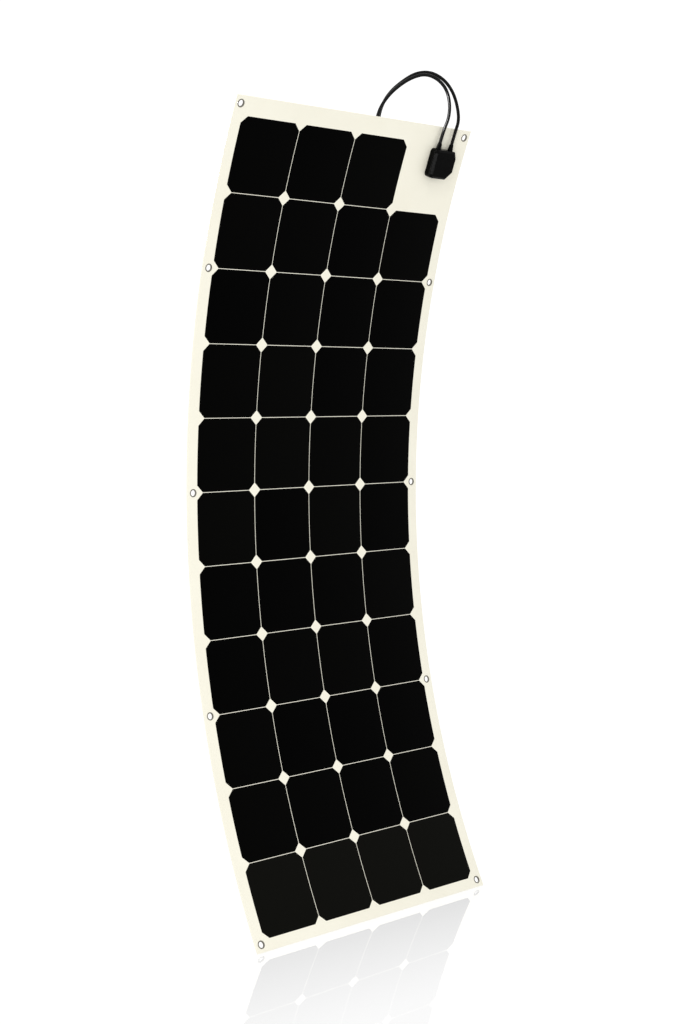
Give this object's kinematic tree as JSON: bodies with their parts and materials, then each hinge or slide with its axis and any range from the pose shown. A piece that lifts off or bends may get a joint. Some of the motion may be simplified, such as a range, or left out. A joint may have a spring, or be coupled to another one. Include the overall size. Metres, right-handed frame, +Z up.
{
  "type": "flexible solar sheet",
  "caption": "Thin bowed solar laminate with black square cells on ivory, metal eyelets down both sides, and a small junction box whose black leads loop over the top edge.",
  "frame": {"origin": "midway between the two middle eyelets, in the middle of the laminate's thickness", "axes": "+Z up the sheet at that point, where it is vertical, +X towards the junction box's side, -Y out of the face that the cells look from"},
  "size_m": [0.55, 0.1884, 1.4969],
  "materials": {
    "front_film": "clear satin film over the cells",
    "cell": "black monocrystalline silicon",
    "encapsulant": "clear, looks ivory over the back sheet",
    "back_sheet": "ivory",
    "eyelet": "polished",
    "ribbon": "tinned copper",
    "adhesive": "black foam tape",
    "box_plastic": "fine texture",
    "terminal": "plain",
    "diode": "moulded",
    "potting": "black silicone",
    "seal": "matt",
    "gland": "matt",
    "lead": "satin cable jacket",
    "tie": "nylon",
    "connector": "moulded"
  },
  "bodies": {
    "band_1": {"front_film_1": "front_film", "cells_1": "cell", "encapsulant_1": "encapsulant", "back_sheet_1": "back_sheet", "eyelets_top": "eyelet", "bus_ribbons_top": "ribbon", "box_adhesive": "adhesive", "box_base": "box_plastic", "box_terminals": "terminal", "box_diodes": "diode", "box_potting": "potting", "box_seal": "seal", "gland_plus": "gland", "lead_plus": "lead", "coil_plus": "lead", "tail_plus": "lead", "tie_plus": "tie", "connector_nut_plus": "connector", "connector_body_plus": "connector", "gland_minus": "gland", "lead_minus": "lead", "coil_minus": "lead", "tail_minus": "lead", "tie_minus": "tie", "connector_nut_minus": "connector", "connector_body_minus": "connector"},
    "band_2": {"front_film_2": "front_film", "cells_2": "cell", "encapsulant_2": "encapsulant", "back_sheet_2": "back_sheet", "eyelets_upper": "eyelet"},
    "band_3": {"front_film_3": "front_film", "cells_3": "cell", "encapsulant_3": "encapsulant", "back_sheet_3": "back_sheet"},
    "band_4": {"front_film_4": "front_film", "cells_4": "cell", "encapsulant_4": "encapsulant", "back_sheet_4": "back_sheet", "eyelets_middle": "eyelet"},
    "band_5": {"front_film_5": "front_film", "cells_5": "cell", "encapsulant_5": "encapsulant", "back_sheet_5": "back_sheet"},
    "band_6": {"front_film_6": "front_film", "cells_6": "cell", "encapsulant_6": "encapsulant", "back_sheet_6": "back_sheet", "eyelets_lower": "eyelet"},
    "band_7": {"front_film_7": "front_film", "cells_7": "cell", "encapsulant_7": "encapsulant", "back_sheet_7": "back_sheet"},
    "band_8": {"front_film_8": "front_film", "cells_8": "cell", "encapsulant_8": "encapsulant", "back_sheet_8": "back_sheet", "eyelets_bottom": "eyelet", "bus_ribbons_bottom": "ribbon"},
    "lid": {"box_lid": "box_plastic"}
  },
  "joints": [
    {"name": "flex_3_4", "type": "hinge", "parent": "band_4", "child": "band_3", "pos_m": [0, -0.00501, 0.12687], "axis": [1, 0, 0], "range_deg": [-7.5, 2.3], "stiffness_Nm_per_rad": 10},
    {"name": "flex_2_3", "type": "hinge", "parent": "band_3", "child": "band_2", "pos_m": [0, -0.01999, 0.25295], "axis": [1, 0, 0], "range_deg": [-7.5, 2.3], "stiffness_Nm_per_rad": 10},
    {"name": "flex_1_2", "type": "hinge", "parent": "band_2", "child": "band_1", "pos_m": [0, -0.07948, 0.49961], "axis": [1, 0, 0], "range_deg": [-8.14, 2.5], "stiffness_Nm_per_rad": 9.225},
    {"name": "flex_4_5", "type": "hinge", "parent": "band_4", "child": "band_5", "pos_m": [0, -0.00501, -0.12687], "axis": [-1, 0, 0], "range_deg": [-7.5, 2.3], "stiffness_Nm_per_rad": 10},
    {"name": "flex_5_6", "type": "hinge", "parent": "band_5", "child": "band_6", "pos_m": [0, -0.01999, -0.25295], "axis": [-1, 0, 0], "range_deg": [-7.5, 2.3], "stiffness_Nm_per_rad": 10},
    {"name": "flex_6_7", "type": "hinge", "parent": "band_6", "child": "band_7", "pos_m": [0, -0.07948, -0.49961], "axis": [-1, 0, 0], "range_deg": [-7.5, 2.3], "stiffness_Nm_per_rad": 10},
    {"name": "flex_7_8", "type": "hinge", "parent": "band_7", "child": "band_8", "pos_m": [0, -0.12361, -0.61866], "axis": [-1, 0, 0], "range_deg": [-5.38, 1.66], "stiffness_Nm_per_rad": 13.957},
    {"name": "lid_lift", "type": "slide", "parent": "band_1", "child": "lid", "axis": [0, -0.9309, -0.3653], "range_m": [0, 0.025]}
  ],
  "couplings": [
    {"joint": "flex_2_3", "follows": "flex_3_4", "ratio": 1},
    {"joint": "flex_1_2", "follows": "flex_3_4", "ratio": 1.084},
    {"joint": "flex_4_5", "follows": "flex_3_4", "ratio": 1},
    {"joint": "flex_5_6", "follows": "flex_3_4", "ratio": 1},
    {"joint": "flex_6_7", "follows": "flex_3_4", "ratio": 1},
    {"joint": "flex_7_8", "follows": "flex_3_4", "ratio": 0.7165}
  ]
}
